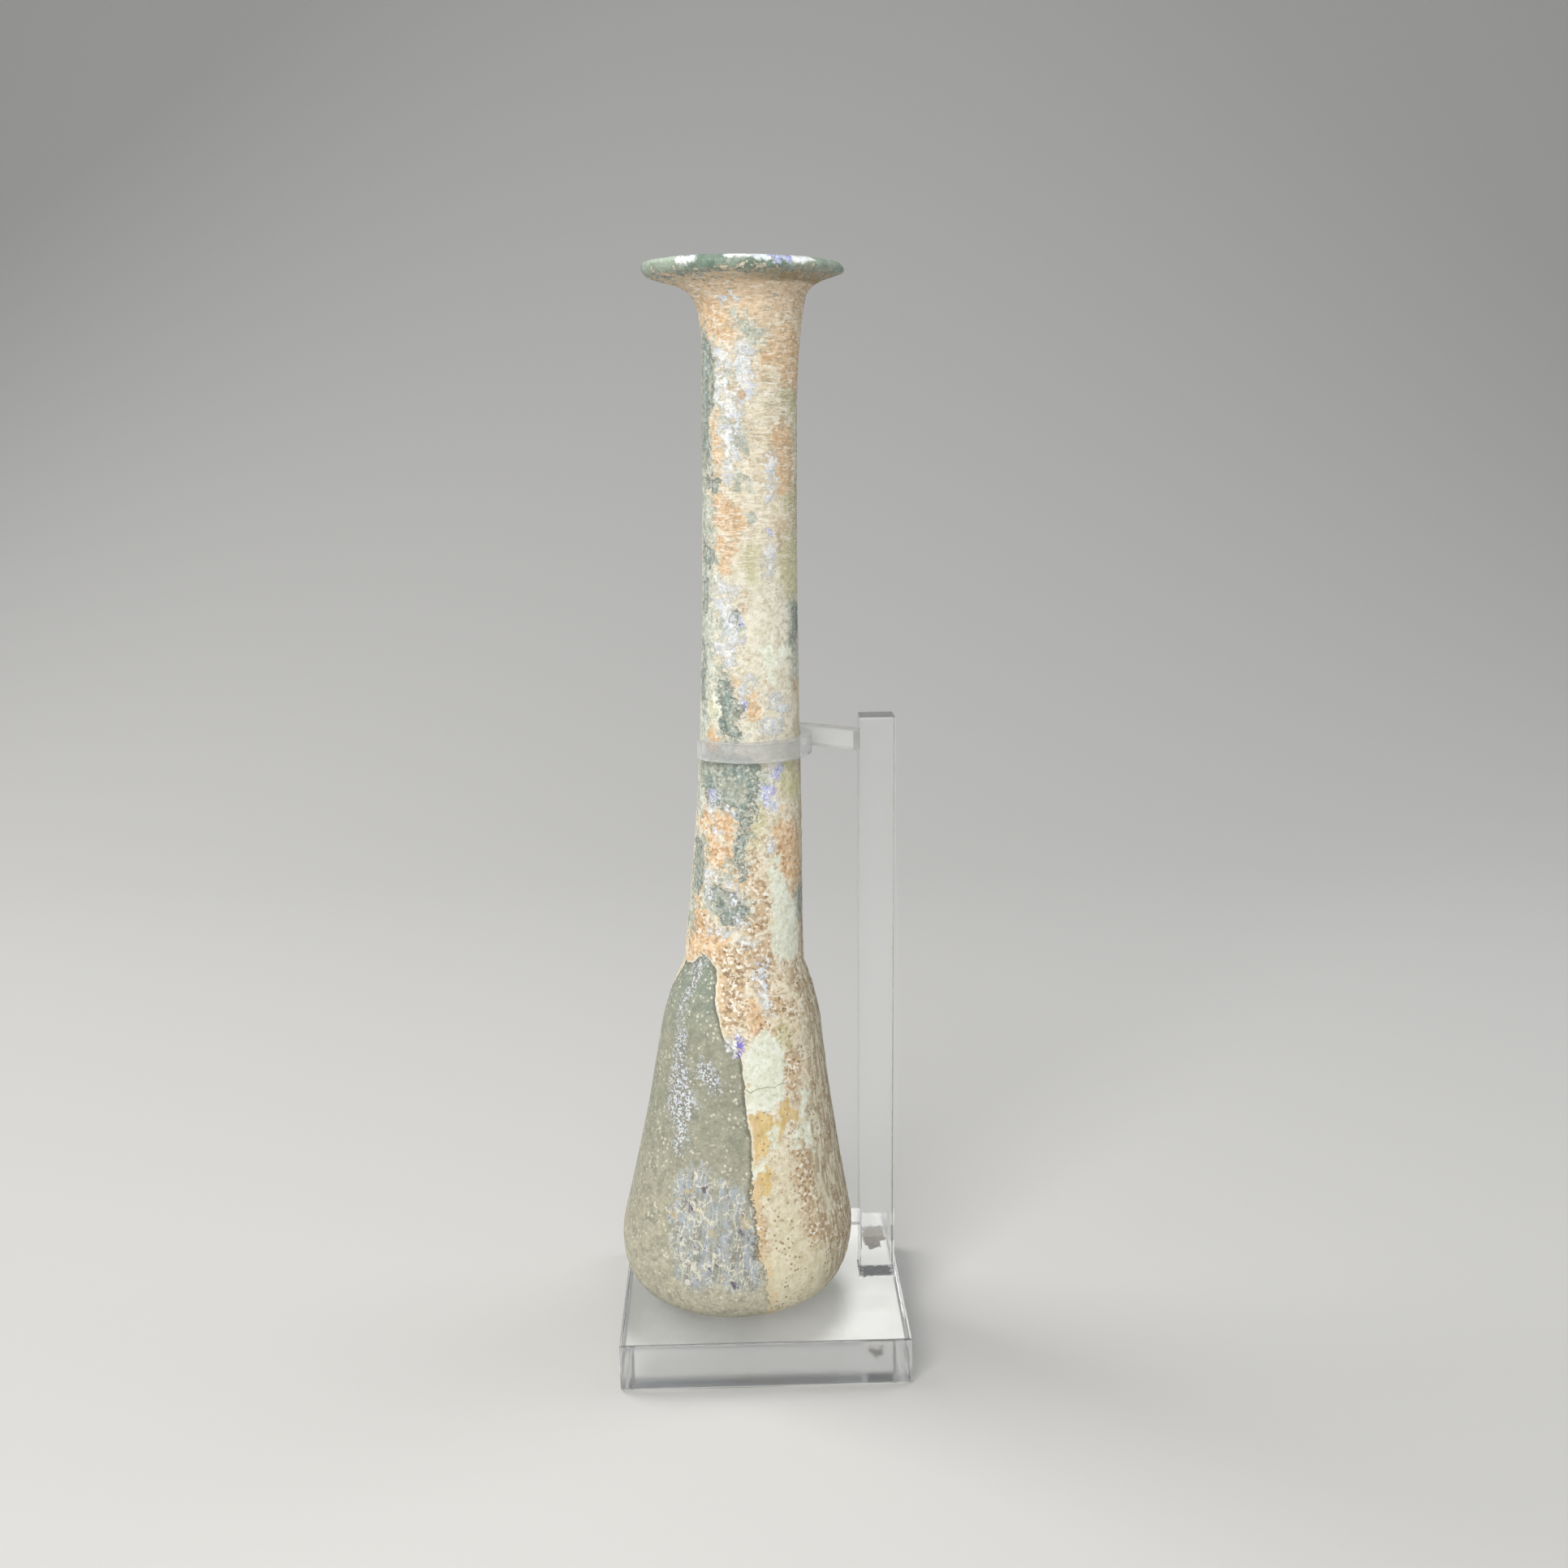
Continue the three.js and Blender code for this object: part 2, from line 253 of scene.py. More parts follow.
# White frost flakes; the three strokes along the top of the lip, at 171, are painted highlight on the glossy
# bead.
frost_and_lip_highlight_strokes = [
    (-30, 153.5, -22, 148, 1.1, 1.0), (-28, 146.5, -24, 138, 0.7, 0.6), (-9, 158.6, -3, 155.6, 1.0, 1.1),
    (-10, 155, -9, 152, 0.8, 0.7), (-14, 150, -12, 146, 0.5, 0.4), (-36, 122, -22, 121.4, 1.1, 1.0),
    (-34, 118.5, -20, 114, 1.4, 1.5), (-36, 112.3, -24, 110.6, 1.4, 1.2), (-45, 75.2, -38, 74.6, 0.9, 0.8),
    (-46, 73.5, -40, 70.5, 0.8, 0.5), (-36, 66.2, -18, 65.8, 0.5, 0.5), (-5, 107.2, -8, 103, 0.7, 0.6),
    (21, 79.6, 27, 80.2, 0.6, 0.6), (18, 60.6, 11, 58.8, 0.7, 0.5), (19, 54.3, 20, 53, 0.7, 0.6),
    (-2, 64.4, 8, 64.2, 0.5, 0.5), (25, 128, 26, 124, 0.8, 0.8), (24, 142.5, 25, 140, 0.6, 0.6),
    (23, 138.2, 24, 137.6, 0.4, 0.4), (-4, 49.5, -8, 47.5, 0.5, 0.8), (-8, 171.2, 16, 171.2, 0.5, 0.6),
    (-39, 171, -27, 171, 0.45, 0.5), (30, 171, 42, 170.8, 0.6, 0.4), (-60, 96, -52, 94.6, 1.0, 0.9),
    (-8, 68.2, -6, 67.4, 0.6, 0.6), (-19, 74, -12, 71, 0.4, 0.4), (-48, 87, -44, 85.6, 0.6, 0.6),
    (-34, 87, -16, 85.2, 0.6, 0.5), (-42, 158, -30, 156, 1.0, 0.9), (-42, 151, -36, 154, 0.8, 0.8),
    (-24, 146, -20, 142, 0.9, 0.8), (-4, 152, -8, 158, 1.4, 1.3), (22, 136, 26, 142, 0.7, 0.8),
    (-28, 165.6, -18, 165.8, 0.6, 0.5), (-40, 82.4, -36, 81.6, 0.5, 0.4), (14, 60, 20, 54, 0.8, 0.7),
    (20, 100, 34, 99, 1.4, 1.2), (30, 104, 40, 102, 1.2, 1.0), (110, 140, 114, 128, 1.0, 1.2),
]
flash_strokes = [
    (18, 89.4, 24, 89.2, 0.8, 0.8), (20, 88, 19, 87.2, 0.6, 0.5), (27, 91.8, 34, 92.6, 0.8, 0.8),
    (-1, 48.6, -4, 46.8, 0.45, 0.4), (23, 130.3, 25, 130.1, 0.45, 0.4), (19, 171, 27, 170.9, 0.7, 0.6),
    (28, 87, 27, 86.2, 0.4, 0.4), (-48, 88.5, -45, 87.8, 0.5, 0.5), (-12, 117, -10, 116.2, 0.4, 0.3),
    (-10, 104.2, -6, 103.2, 0.4, 0.3), (110, 36, 114, 30, 0.7, 0.5), (-120, 150, -118, 140, 0.5, 0.4),
]
# Bright iridescent flakes, laid thickest down the streak on the body's left where the light glints: real
# flakes with painted highlight.
flake_and_glint_strokes = [
    (-40, 61.3, -53, 58.8, 0.5, 0.8), (-53, 58.6, -55, 54.4, 0.8, 0.8), (-55, 54.4, -51, 49, 0.8, 0.7),
    (-51, 49, -47, 44.4, 0.7, 1.2), (-47, 44.4, -42, 37, 1.8, 3.0), (-42, 37, -36, 30, 2.0, 0.8),
    (-25, 44, -18, 41, 1.4, 1.2), (20, 92.5, 34, 92.4, 1.2, 1.2), (16, 89, 28, 87, 1.2, 1.4),
    (-44, 88, -36, 88.4, 1.2, 0.8), (100, 40, 108, 20, 1.2, 2.4), (-12, 157, -4, 154, 0.8, 0.8),
    (-100, 84, -96, 76, 1.2, 1.0), (180, 140, 176, 128, 1.0, 1.4), (-160, 44, -150, 36, 2.0, 1.2),
]
stain_strokes = [
    (-66, 98, -62, 112, 1.8, 1.8), (-64, 113, -60, 126, 1.8, 1.8), (-66, 128, -62, 136, 1.6, 1.4),
    (-62, 140, -66, 148, 1.2, 1.4), (-56, 150, -52, 158, 1.7, 1.5), (-40, 108, -24, 98, 1.8, 1.6),
    (-40, 116, -20, 116, 1.2, 1.2), (-18, 163, 6, 160, 0.9, 1.2), (-12, 144, -18, 148, 1.0, 1.0),
    (-62, 74, -58, 80, 1.6, 1.4), (-28, 75, -12, 78, 1.2, 1.0), (-50, 92, 4, 90, 3.4, 3.0),
    (-36, 71, -6, 70, 2.6, 2.0), (-10, 86, -6, 76, 1.0, 1.0), (62, 118, 70, 108, 1.8, 1.6),
    (60, 68, 70, 72, 1.4, 1.2), (110, 120, 120, 100, 2.4, 2.0), (150, 140, 160, 126, 2.2, 2.0),
    (-120, 92, -110, 78, 2.0, 2.2), (-100, 150, -96, 138, 1.8, 1.8), (-72, 66, -70, 80, 1.6, 1.4),
    (-72, 86, -68, 94, 1.8, 1.8), (-74, 104, -72, 134, 1.6, 1.8), (-74, 136, -72, 160, 1.8, 1.8),
    (180, 110, 172, 100, 2.0, 1.8), (-160, 160, -140, 152, 2.4, 2.0), (100, 70, 112, 62, 2.0, 1.6),
    (-38, 149, -34, 147.5, 0.5, 0.4), (-9, 139, -8, 136.8, 0.5, 0.4), (0, 133, 0, 132, 0.5, 0.4),
    (-25, 155, -22, 153.4, 0.5, 0.4),
]
mottle_strokes = [
    (74, 10, 70, 34, 9.5, 8.5), (70, 34, 74, 56, 7.0, 4.6), (78, 62, 84, 92, 2.4, 2.0),
    (84, 98, 86, 116, 1.8, 1.6), (84, 132, 86, 150, 1.8, 1.6), (130, 30, 150, 60, 5.0, 3.0),
]
crackle_strokes = [
    (-26, 24, -20, 12, 3.6, 4.6), (-6, 15, 2, 11, 3.4, 3.6), (0, 24, 4, 16, 1.8, 2.2),
    (-33, 19, -28, 24, 1.8, 2.0), (-6, 24.6, -1, 26, 1.4, 0.8), (-8, 20, -6, 24, 2.0, 1.4),
    (-150, 26, -160, 18, 3.6, 4.0), (-120, 40, -116, 32, 2.0, 2.4),
]

co = np.empty(len(flask_mesh.vertices) * 3, dtype=np.float32)
flask_mesh.vertices.foreach_get("co", co)
co = co.reshape(-1, 3).astype(float)
normals = np.empty(len(co) * 3, dtype=np.float32)
flask_mesh.vertices.foreach_get("normal", normals)
normals = normals.reshape(-1, 3).astype(float)
outer = np.empty(len(co), dtype=np.float32)
flask_mesh.attributes["outside"].data.foreach_get("value", outer)
radius = np.hypot(co[:, 0], co[:, 1])
height = co[:, 2].copy()
angle = np.degrees(np.arctan2(co[:, 0], -co[:, 1]))


def roughly(size, shift, octaves):
    """Noise over the flask, from about -1 to 1, with lumps of about this size in millimetres."""
    move = Vector((shift, 2 * shift, 3 * shift))
    return np.array([noise.fractal(Vector(p) / size + move, 0.9, 2.1, octaves) for p in co])


wander_round = roughly(4.5, 11.3, 4)
wander_up = roughly(4.5, 37.9, 4)
lumps = roughly(1.4, 71.7, 3)
swells = roughly(14, 93.1, 2)
drift = 0.75 * wander_round / np.maximum(radius, 1)
warped_angle = angle + np.degrees(drift)
warped_height = height + 0.6 * wander_up


def inside_strokes(strokes):
    """How many millimetres inside the nearest stroke each point of the flask lies, negative outside it."""
    depth = np.full(len(co), -4.0)
    for angle_a, height_a, angle_b, height_b, half_a, half_b in strokes:
        round_by = np.radians((warped_angle - angle_a + 180) % 360 - 180) * radius
        up_by = warped_height - height_a
        run, rise = radians(angle_b - angle_a) * radius, height_b - height_a
        share = np.clip((round_by * run + up_by * rise) / (run**2 + rise**2 + 1e-9), 0, 1)
        reach = half_a + (half_b - half_a) * share
        depth = np.maximum(depth, reach - np.hypot(round_by - share * run, up_by - share * rise))
    return depth


# The crust on the body ends in one edge, a little right of the front, and the glass left of it is only dusty.
crust_edge_heights = [0, 5, 10, 15, 20, 25, 30, 35, 40, 45, 46.5, 48, 50, 52, 55, 58, 60.5]
crust_edge_angles = [17, 16, 14, 10, 9, 7, 7, 5, 2, 0, -3, -9, -15, -18, -24, -26, -30]
crust_top_angles = [-185, -130, -100, -75, -60, -50, -42, -33, -28]
crust_top_heights = [50, 56, 52, 59, 59.5, 61, 61.6, 60.5, 60]
edge_warp = 0.35 * wander_round / np.maximum(radius, 1)
front_edge = np.interp(height, crust_edge_heights, crust_edge_angles)
left_of_edge = np.radians(front_edge - angle - np.degrees(edge_warp)) * radius
wrapped = (angle + 190) % 360 - 190
back_edge = np.interp(height, [0, 20, 35, 50, 62], [-150, -172, -160, -128, -120])
right_of_back = np.radians(wrapped - back_edge + np.degrees(2 * drift)) * radius
under_top = np.interp(wrapped, crust_top_angles, crust_top_heights) - warped_height
dusty_side = np.minimum(np.minimum(left_of_edge, right_of_back), under_top)

depths = {
    "bare": np.maximum(inside_strokes(bare_strokes), dusty_side),
    "mint": inside_strokes(mint_strokes),
    "ochre": inside_strokes(ochre_strokes),
    "peach": inside_strokes(peach_strokes),
    "brown": inside_strokes(brown_strokes),
    "olive": inside_strokes(olive_strokes),
    "frost": inside_strokes(frost_and_lip_highlight_strokes),
    "flash": inside_strokes(flash_strokes),
    "sparkle": inside_strokes(flake_and_glint_strokes),
    "stain": inside_strokes(stain_strokes),
    "mottle": inside_strokes(mottle_strokes),
    "crackle": inside_strokes(crackle_strokes),
}
clean_lip_above, clean_lip_outside = 169.4, 11.5
on_lip_bead = height - clean_lip_above + 0.25 * wander_up
depths["bare"] = np.maximum(depths["bare"], np.minimum(on_lip_bead, (radius - clean_lip_outside) * 2))
for name, depth in depths.items():
    layer = flask_mesh.attributes.new(name, "FLOAT", "POINT")
    layer.data.foreach_set("value", np.clip(depth, -4, 4).astype(np.float32))

# The crust stands out from the glass, in a step that fades low on the body, with lumps and fine ridges on it
crust_thickness, lump_height, ridge_height, ridges_apart, swell_height = 0.14, 0.09, 0.03, 1.3, 0.10
near_foot = np.clip((34 - height) / 16, 0, 1)
crusted = np.clip(0.5 - depths["bare"] / (0.5 + 2.5 * near_foot), 0, 1)
striated = np.clip((height - 120) / 15, 0, 1) * np.clip((171 - height) / 4, 0, 1)
ridges = np.sin(height * 2 * pi / ridges_apart + 2.2 * wander_round + 1.2 * wander_up)
relief = crusted * (crust_thickness + lump_height * lumps + ridge_height * striated * ridges)
relief += swell_height * swells
on_foot = np.clip((height - 0.3) / 2.0, 0, 1)
co += normals * (outer * relief * on_foot)[:, None]

# The flask's middle line, as heights above the foot and steps to the right
lean_points = [
    (0, -0.5), (foot_height, 0), (shoulder_top, 1.28), (neck_root, 1.87),
    (neck_root + 0.3 * neck_height, 3.12), (neck_root + 0.6 * neck_height, 3.7),
    (flare_start, 4.1), (throat, 4.45), (vessel_height, 3.05),
]


def lean_at(heights):
    """How far to the right the smooth curve through the lean points lies, at each height."""
    ups, rights = [], []
    for i in range(len(lean_points) - 1):
        p0, p1 = lean_points[max(i - 1, 0)], lean_points[i]
        p2, p3 = lean_points[i + 1], lean_points[min(i + 2, len(lean_points) - 1)]
        for step in range(20):
            t = step / 20
            for k, out in ((0, ups), (1, rights)):
                v0, v1 = (p2[k] - p0[k]) / 2, (p3[k] - p1[k]) / 2
                cubic = (2 * p1[k] - 2 * p2[k] + v0 + v1) * t**3
                out.append(cubic + (-3 * p1[k] + 3 * p2[k] - 2 * v0 - v1) * t**2 + v0 * t + p1[k])
    ups.append(lean_points[-1][0])
    rights.append(lean_points[-1][1])
    return np.interp(heights, ups, rights)


lean = lean_at(co[:, 2])
rise = np.clip((co[:, 2] - throat) / (lip_middle - throat), 0, 1)
swell = rise**2 * (3 - 2 * rise) * lip_unevenness * co[:, 0] / lip_radius / lip_thickness
co[:, 2] = lip_middle + (co[:, 2] - lip_middle) * (1 - swell)
co[:, 0] += lean + vessel_x
co[:, 1] += vessel_y
co[:, 2] += plate_top + foot_film
flask_mesh.vertices.foreach_set("co", (co * mm).astype(np.float32).ravel())
flask_mesh.update()
flask_mesh.shade_smooth()
vessel = bpy.data.objects.new("flask_glass", flask_mesh)
bpy.context.scene.collection.objects.link(vessel)


class Reading:
    """A number that varies over a surface. Python's operators on it add Math nodes."""

    def __init__(self, finish, socket):
        self.finish = finish
        self.socket = socket

    def maths(self, operation, first, second=0.0):
        return self.finish.node("ShaderNodeMath", {"operation": operation}, {0: first, 1: second})

    def __add__(self, other):
        return self.maths("ADD", self, other)

    def __radd__(self, other):
        return self.maths("ADD", other, self)

    def __sub__(self, other):
        return self.maths("SUBTRACT", self, other)

    def __rsub__(self, other):
        return self.maths("SUBTRACT", other, self)

    def __mul__(self, other):
        return self.maths("MULTIPLY", self, other)

    def __rmul__(self, other):
        return self.maths("MULTIPLY", other, self)


class Finish:
    """A material's nodes. Its one method adds a node: first its settings, then values or links."""

    def __init__(self, name):
        self.material = bpy.data.materials.new(name)
        self.material.use_nodes = True
        self.tree = self.material.node_tree
        self.tree.nodes.clear()

    def node(self, kind, settings, sockets, output=0):
        new = self.tree.nodes.new(kind)
        for name, value in settings.items():
            if name == "stops":
                ramp = new.color_ramp
                while len(ramp.elements) < len(value):
                    ramp.elements.new(0.5)
                for element, (place, colour) in zip(ramp.elements, value):
                    element.position = place
                    element.color = colour
            else:
                setattr(new, name, value)
        for name, value in sockets.items():
            if isinstance(value, Reading):
                self.tree.links.new(value.socket, new.inputs[name])
            else:
                new.inputs[name].default_value = value
        return None if output is None else Reading(self, new.outputs[output])


burial = Finish("weathered_glass")
place = burial.node("ShaderNodeTexCoord", {}, {}, "Object")


def speckle(size, seed, detail=4.0, roughness=0.55, at=None):
    """Noise from 0 to 1, with lumps of about this size in millimetres."""
    return burial.node(
        "ShaderNodeTexNoise",
        {"noise_dimensions": "4D"},
        {"Vector": at or place, "W": seed, "Scale": 1000 / size, "Detail": detail, "Roughness": roughness},
    )


def between(value, low, high, bottom=0.0, top=1.0):
    return burial.node(
        "ShaderNodeMapRange",
        {"interpolation_type": "SMOOTHSTEP"},
        {0: value, 1: low, 2: high, 3: bottom, 4: top},
    )


def laid_over(mask, under, over):
    return burial.node("ShaderNodeMix", {"data_type": "RGBA"}, {0: mask, 6: under, 7: over}, 2)


def patch(name, ragged, soft, texture):
    """Where one kind of patch lies. Its edge is broken by a texture, over this many millimetres."""
    depth = burial.node("ShaderNodeAttribute", {"attribute_name": name}, {}, 2)
    return between(depth + (texture - 0.5) * ragged, -soft, soft)


flat_place = burial.node("ShaderNodeMapping", {}, {"Vector": place, "Scale": (0.42, 0.42, 1.9)})
tall_place = burial.node("ShaderNodeMapping", {}, {"Vector": place, "Scale": (1.7, 1.7, 0.38)})
across = burial.node("ShaderNodeSeparateXYZ", {}, {"Vector": place}, 0) * 1000
up = burial.node("ShaderNodeSeparateXYZ", {}, {"Vector": place}, 2) * 1000
broad = speckle(6.0, 1.0)
blotches = speckle(2.6, 7.0, 5.0, 0.6)
mid = speckle(1.6, 2.0, 7.0, 0.66)
fine = speckle(0.7, 3.0, 5.0, 0.7)
grain = speckle(0.3, 4.0, 3.0, 0.6)
streaks = speckle(1.5, 6.0, 6.0, 0.66, tall_place)


def cells(size, at=None, part=0):
    """Small patches of even shade, each about this size in millimetres."""
    shades = burial.node("ShaderNodeTexVoronoi", {}, {"Vector": at or place, "Scale": 1000 / size}, "Color")
    return burial.node("ShaderNodeSeparateColor", {}, {"Color": shades}, part)


def dots(apart, size, at=None):
    """Round dots about this far apart, in millimetres."""
    away = burial.node("ShaderNodeTexVoronoi", {}, {"Vector": at or place, "Scale": 1000 / apart}, "Distance")
    return between(away + (grain - 0.5) * 0.2, size / apart, 0.6 * size / apart)


def threads(noise, width):
    """Thin curling lines, where a noise passes its middle value."""
    away = burial.node("ShaderNodeMath", {"operation": "ABSOLUTE"}, {0: noise - 0.5})
    return between(away, width, 0.4 * width)


grit = cells(0.5) * 0.4 + fine * 0.9 + grain * 0.3 - 0.32


def gritty(amount, colour, light, dark):
    """Scatters light grains and dark pits over a colour."""
    colour = laid_over(between(grit, 0.54, 0.66) * amount, colour, light)
    return laid_over(between(grit, 0.42, 0.30) * amount, colour, dark)


on_neck = between(up, 66, 74)
on_lip = between(up, 177.1, 177.7)
low_down = between(up, 46, 22)
high_up = between(up, 122, 140)
bare_depth = burial.node("ShaderNodeAttribute", {"attribute_name": "bare"}, {}, 2)
bare_depth = bare_depth + (mid * 0.6 + fine * 0.4 - 0.5) * (1.6 + 9 * on_neck + 6 * low_down)
bare = between(bare_depth, -0.1 - 0.25 * on_neck, 0.1 + 0.25 * on_neck)
mint = patch("mint", 6.0, 0.25, speckle(1.1, 8.0, 7.0, 0.7))
ochre = patch("ochre", 3.0, 0.12, speckle(0.9, 9.0, 7.0, 0.66))
peach = patch("peach", 8.0, 0.5, speckle(1.3, 10.0, 7.0, 0.7))
brown = patch("brown", 8.0, 0.8, speckle(1.3, 11.0, 7.0, 0.7))
olive = patch("olive", 7.0, 0.8, streaks)
stain = patch("stain", 12.0, 0.9, speckle(1.2, 21.0, 7.0, 0.7))
# Frost flakes, and on the lip painted highlight in white.
frost = patch("frost", 9.0 - 6.5 * on_lip, 0.3, speckle(1.0, 12.0, 6.0, 0.74))
frost = frost * (on_lip + (1 - on_lip) * between(grit, 0.28, 0.40, 0.4, 1.0))
flash = patch("flash", 5.0, 0.25, speckle(0.7, 13.0, 5.0, 0.7))
# Where the bright flakes lie, thickest along the painted highlight streak on the body's left.
in_flake_and_glint = patch("sparkle", 6.0, 0.9, streaks)
sparkle = in_flake_and_glint * between(cells(0.27) + (fine - 0.5) * 0.6, 0.58, 0.70)
mottle = patch("mottle", 24.0, 3.0, mid * 0.5 + streaks * 0.5)
crackle = patch("crackle", 14.0, 1.0, blotches * 0.5 + streaks * 0.5)

# Crust colours, each a little uneven
cream = laid_over(between(mid, 0.35, 0.65), (0.74, 0.64, 0.45, 1), (0.94, 0.87, 0.70, 1))
tan = laid_over(between(fine, 0.35, 0.65), (0.66, 0.51, 0.32, 1), (0.82, 0.68, 0.48, 1))
crust = laid_over(between(broad, 0.48, 0.66), cream, tan)
mid_up = between(up, 84, 104) * between(up, 140, 130)
mid_cream = laid_over(between(mid, 0.35, 0.65), (0.70, 0.67, 0.53, 1), (0.88, 0.86, 0.74, 1))
crust = laid_over(mid_up * 0.75, crust, mid_cream)
low_cream = laid_over(between(mid, 0.35, 0.65), (0.68, 0.61, 0.41, 1), (0.84, 0.78, 0.58, 1))
crust = laid_over(low_down * 0.85, crust, low_cream)
crust = laid_over(between(up, 166, 174, 0.0, 0.8), crust, (0.84, 0.63, 0.42, 1))
crust = laid_over(olive * 0.8, crust, (0.60, 0.58, 0.33, 1))
peach_colour = laid_over(between(mid, 0.35, 0.65), (0.70, 0.44, 0.23, 1), (0.88, 0.65, 0.40, 1))
crust = laid_over(peach * 0.95, crust, peach_colour)
crust = laid_over(brown * 0.65, crust, (0.56, 0.37, 0.20, 1))
ochre_colour = laid_over(between(streaks, 0.35, 0.65), (0.64, 0.46, 0.19, 1), (0.86, 0.65, 0.30, 1))
crust = laid_over(ochre * 0.95, crust, ochre_colour)
flaking = cells(1.1, tall_place) * 0.4 + streaks * 0.7 + fine * 0.3
mottled = laid_over(between(flaking, 0.60, 0.82), (0.37, 0.29, 0.18, 1), (0.70, 0.66, 0.50, 1))
crust = laid_over(mottle * 0.8, crust, mottled)
grittiness = (0.55 + 0.45 * brown + 0.15 * peach) * (1 - 0.8 * ochre)
grittiness = grittiness * (1 - 0.7 * low_down * (1 - brown)) * (1 - 0.5 * mottle)
grittiness = grittiness * between(blotches, 0.3, 0.6, 0.5, 1.0) * (1 - 0.5 * high_up) * (1 - 0.45 * mid_up)
crust = gritty(grittiness, crust, (0.98, 0.95, 0.86, 1), (0.32, 0.22, 0.13, 1))
wrinkles = cells(0.45, flat_place) * 0.25 + speckle(0.48, 5.0, 5.0, 0.7, flat_place) - 0.12
column_place = burial.node("ShaderNodeMapping", {}, {"Vector": place, "Scale": (1, 1, 0.09)})
furrow_shade_columns = between(speckle(1.5, 20.0, 2.0, 0.5, column_place), 0.46, 0.58, 0.35, 1.0)
# Painted shade in the furrows between the upper neck's wrinkles, broken into columns.
crust = laid_over(high_up * furrow_shade_columns * between(wrinkles, 0.46, 0.36, 0.0, 0.8), crust, (0.40, 0.37, 0.28, 1))
crust = laid_over(high_up * between(wrinkles, 0.55, 0.66, 0.0, 0.7), crust, (1.0, 0.98, 0.89, 1))
stain_colour = laid_over(between(mid, 0.40, 0.60), (0.34, 0.40, 0.345, 1), (0.60, 0.64, 0.555, 1))
stain_colour = gritty(0.5, stain_colour, (0.88, 0.90, 0.84, 1), (0.26, 0.30, 0.26, 1))
crust = laid_over(stain * 0.85, crust, stain_colour)
freckles = dots(0.75, 0.26) * between(blotches, 0.46, 0.56) * (1 - 0.6 * on_neck)
crust = laid_over(freckles * 0.8, crust, (0.28, 0.16, 0.07, 1))
right_side = between(across, -4, 5)
# Painted shadow under the lip's bead, stronger on the right side.
painted_lip_shadow = between(up + mid * 0.8, 176.1, 176.9) * (0.25 + 0.55 * right_side)
crust = laid_over(painted_lip_shadow, crust, (0.27, 0.21, 0.11, 1))
edge_stain = between(bare_depth, -1.5, -0.7) * (1 - on_neck)
crust = laid_over(edge_stain * between(mid, 0.44, 0.56, 0.1, 0.8), crust, (0.74, 0.55, 0.30, 1))
rim = between(bare_depth, -0.6, -0.2) * (1 - bare)
crust = laid_over(rim * 0.7 * (1 - 0.85 * low_down), crust, (0.93, 0.89, 0.76, 1))
mint_colour = laid_over(between(mid, 0.35, 0.65), (0.72, 0.75, 0.58, 1), (0.90, 0.93, 0.82, 1))
mint_colour = gritty(0.3, mint_colour, (0.94, 0.95, 0.88, 1), (0.48, 0.46, 0.33, 1))
split = burial.node("ShaderNodeMath", {"operation": "ABSOLUTE"}, {0: up - 49.3 + (broad - 0.5) * 7})
mint_colour = laid_over(between(split, 0.16, 0.05) * (1 - on_neck), mint_colour, (0.40, 0.36, 0.24, 1))
crust = laid_over(mint * 0.95, crust, mint_colour)

# Dust on the bare glass, with pale specks, and the crackled lilac skin low on the front
dust = laid_over(between(blotches, 0.35, 0.65), (0.335, 0.335, 0.25, 1), (0.44, 0.435, 0.325, 1))
dust = laid_over(between(up, 54, 66, 0.0, 0.7), dust, (0.27, 0.33, 0.26, 1))
dust = laid_over(low_down * between(mid, 0.35, 0.6, 0.2, 0.8), dust, (0.57, 0.52, 0.38, 1))
dust = laid_over(between(up, 25, 12) * between(mid, 0.38, 0.56, 0.55, 0.95), dust, (0.66, 0.62, 0.46, 1))
dust = gritty(0.22, dust, (0.70, 0.67, 0.55, 1), (0.22, 0.21, 0.15, 1))
sheen = laid_over(between(streaks, 0.40, 0.62), (0.24, 0.32, 0.285, 1), (0.46, 0.525, 0.475, 1))
sheen = laid_over(between(blotches, 0.46, 0.6, 0.0, 0.7), sheen, (0.52, 0.52, 0.40, 1))
sheen = gritty(0.5, sheen, (0.86, 0.87, 0.80, 1), (0.17, 0.21, 0.18, 1))
lip_colour = laid_over(between(broad, 0.40, 0.60), (0.15, 0.235, 0.175, 1), (0.41, 0.49, 0.39, 1))
sheen = laid_over(on_lip, sheen, lip_colour)
dust = laid_over(on_neck, dust, sheen)
specks = dots(0.9, 0.30) * between(speckle(2.2, 14.0), 0.44, 0.54) * (1 - 0.7 * on_lip)
dust = laid_over(specks * 0.85, dust, (0.88, 0.84, 0.70, 1))
lilac = laid_over(between(streaks, 0.42, 0.56), (0.28, 0.28, 0.24, 1), (0.44, 0.45, 0.40, 1))
bluish = between(speckle(2.4, 15.0, 5.0, 0.66, tall_place), 0.46, 0.58, 0.0, 0.9)
lilac = laid_over(bluish, lilac, (0.43, 0.49, 0.57, 1))
lilac = laid_over(between(speckle(2.0, 16.0, 5.0), 0.58, 0.64, 0.0, 0.8), lilac, (0.56, 0.45, 0.25, 1))
lilac = laid_over(between(speckle(1.8, 17.0, 5.0), 0.60, 0.65), lilac, (0.13, 0.11, 0.17, 1))
lilac = gritty(0.2, lilac, (0.72, 0.72, 0.66, 1), (0.18, 0.17, 0.15, 1))
worms = threads(speckle(2.6, 18.0, 2.0, 0.5), 0.022)
worms = worms + threads(speckle(1.6, 19.0, 2.0, 0.5, tall_place), 0.022)
lilac = laid_over(worms * between(mid, 0.42, 0.50, 0.15, 0.9), lilac, (0.80, 0.77, 0.64, 1))
